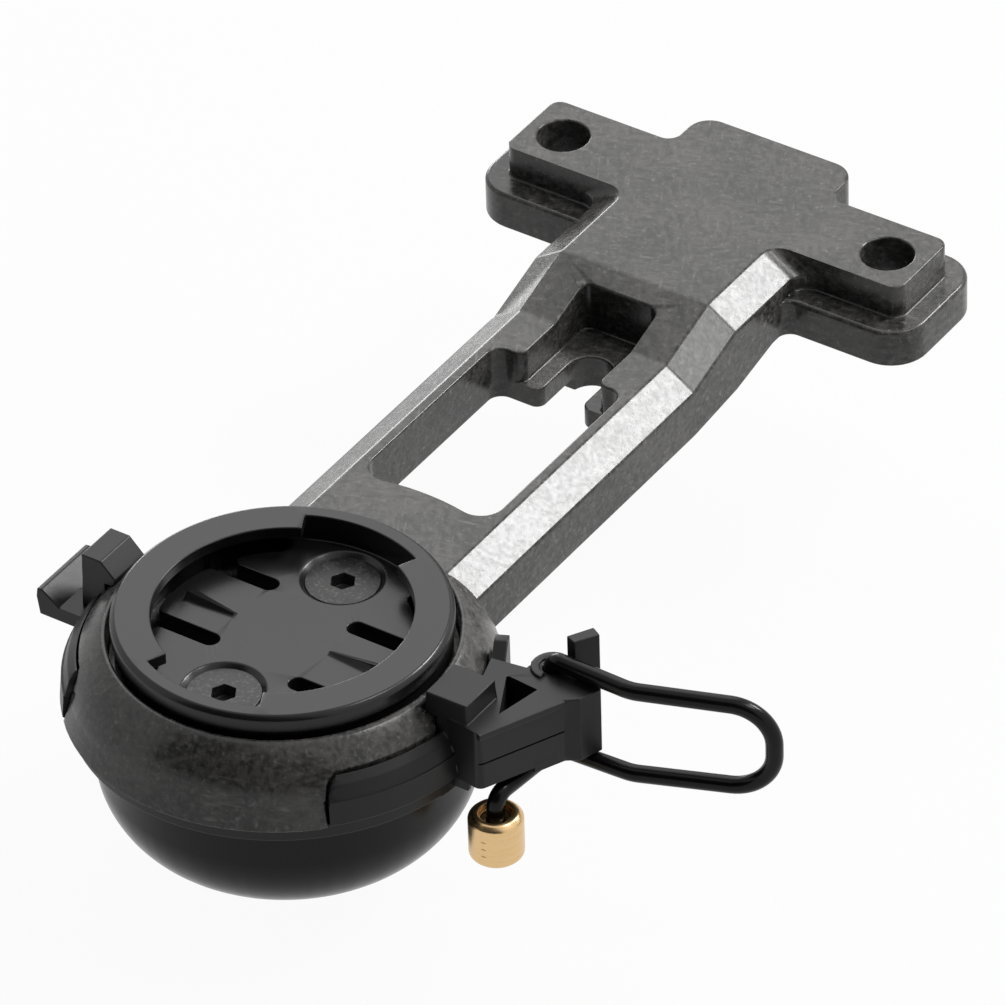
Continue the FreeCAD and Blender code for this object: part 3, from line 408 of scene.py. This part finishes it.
def seen_white(tree):
    """1 for what the camera sees, straight or in a polished or clear piece, and 0 for the rest."""
    path = tree.nodes.new("ShaderNodeLightPath").outputs
    seen = Field(path["Is Camera Ray"]) + Field(path["Is Glossy Ray"]) + Field(path["Is Transmission Ray"])
    return seen.least(1.0)


def sheet(name, corners, material):
    """A flat sheet of the studio's, no part of the object."""
    mesh = bpy.data.meshes.new(name)
    mesh.from_pydata(corners, [], [(0, 1, 2, 3)])
    mesh.materials.append(material)
    spread = bpy.data.objects.new(name, mesh)
    bpy.context.scene.collection.objects.link(spread)


soft_lamp("key", Vector((0.38, 0.65, 0.66)), size=0.24, brightness=35.0)
soft_lamp("side", Vector((0.48, 0.17, 0.86)), size=0.2, brightness=17.0)
soft_lamp("back", Vector((-0.45, 0.5, 0.72)), size=0.65, brightness=1.8)
soft_lamp("back_left", Vector((-0.74, 0.65, 0.1)), size=0.3, brightness=8.0)

white, shader = new_finish("white_floor", Base_Color=FLOOR_GREY, Roughness=0.9)[:2]
tree = white.node_tree
glow = Field(tree.nodes.new("ShaderNodeEmission").outputs[0])
share = seen_white(tree) * FLOOR_GLOW
blend = share.node("ShaderNodeMixShader", {}, {0: share, 1: Field(shader.outputs[0]), 2: glow})
tree.links.new(blend.socket, tree.nodes["Material Output"].inputs["Surface"])
low = cad_box[0].z - FLOOR_GAP
sides = ((-1, -1), (1, -1), (1, 1), (-1, 1))
sheet("floor", [(x * FLOOR_HALF, y * FLOOR_HALF, low) for x, y in sides], white)

black = new_finish("black_card", Base_Color=CARD_BLACK, Roughness=0.9)[0]
sides = ((CARD_LEFT, CARD_FOOT), (CARD_RIGHT, CARD_FOOT), (CARD_RIGHT, CARD_TOP), (CARD_LEFT, CARD_TOP))
sheet("card", [(x, CARD_FRONT, z) for x, z in sides], black)

world = bpy.data.worlds.new("studio")
bpy.context.scene.world = world
world.use_nodes = True
sky = world.node_tree.nodes["Background"]
sky.inputs["Color"].default_value = (1, 1, 1, 1)
strength = seen_white(world.node_tree) * (1 - SKY) + SKY
world.node_tree.links.new(strength.socket, sky.inputs["Strength"])
bpy.context.scene.view_settings.view_transform = "Standard"

# Camera: a long lens about a metre off, above the front right of the head. Its roll and its small offsets
# give the photograph's framing.
AZIMUTH, ELEVATION, ROLL = (math.radians(angle) for angle in (34.633, 37.753, -1.82))
DISTANCE = 1.066083
LENS = 356.08
VIEW_END = 20
TARGET = Vector((0, -0.035, -0.003))
SHIFT_RIGHT, SHIFT_UP = -0.00497, -0.013117
back = Vector((
    math.sin(AZIMUTH) * math.cos(ELEVATION),
    -math.cos(AZIMUTH) * math.cos(ELEVATION),
    math.sin(ELEVATION),
))
level = Vector((math.cos(AZIMUTH), math.sin(AZIMUTH), 0))
rise = back.cross(level)
right = level * math.cos(ROLL) + rise * math.sin(ROLL)
up = rise * math.cos(ROLL) - level * math.sin(ROLL)
camera_data = bpy.data.cameras.new("camera")
camera_data.lens = LENS
camera_data.clip_end = VIEW_END
camera = bpy.data.objects.new("camera", camera_data)
stand = TARGET + right * SHIFT_RIGHT + up * SHIFT_UP + back * DISTANCE
camera.matrix_world = Matrix.Translation(stand) @ Matrix((right, up, back)).transposed().to_4x4()
bpy.context.scene.collection.objects.link(camera)
bpy.context.scene.camera = camera
